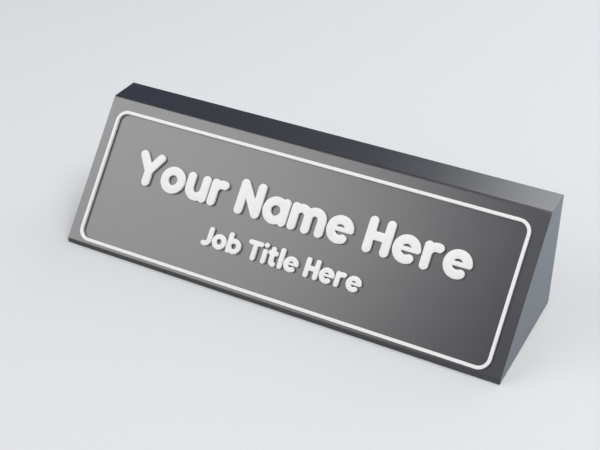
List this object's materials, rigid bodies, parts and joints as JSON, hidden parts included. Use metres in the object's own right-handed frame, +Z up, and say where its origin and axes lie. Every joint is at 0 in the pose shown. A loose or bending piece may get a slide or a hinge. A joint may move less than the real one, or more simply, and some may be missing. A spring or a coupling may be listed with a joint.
{
  "type": "desk name plate",
  "caption": "Wedge-shaped desk name plate: hollow dark shell with a sloping face, raised white rounded border, screwed base cover and anti-slip pads.",
  "frame": {"origin": "middle of the footprint, on the desk", "axes": "+X along the plate to the reader's right, -Y is the way the sloping face looks, +Z up"},
  "size_m": [0.21, 0.0601, 0.055],
  "materials": {
    "graphite_shell": "satin graphite grey with a soft metallic sheen",
    "white_relief": "matt white",
    "black_cover": "fine matt grain",
    "screw_steel": "zinc plated",
    "pad_rubber": "matt"
  },
  "bodies": {
    "root": {"wedge_shell": "graphite_shell", "border_inlay": "white_relief", "base_cover": "black_cover", "cover_screws": "screw_steel", "pad_front_left": "pad_rubber", "pad_front_right": "pad_rubber", "pad_rear_left": "pad_rubber", "pad_rear_right": "pad_rubber"}
  },
  "joints": []
}
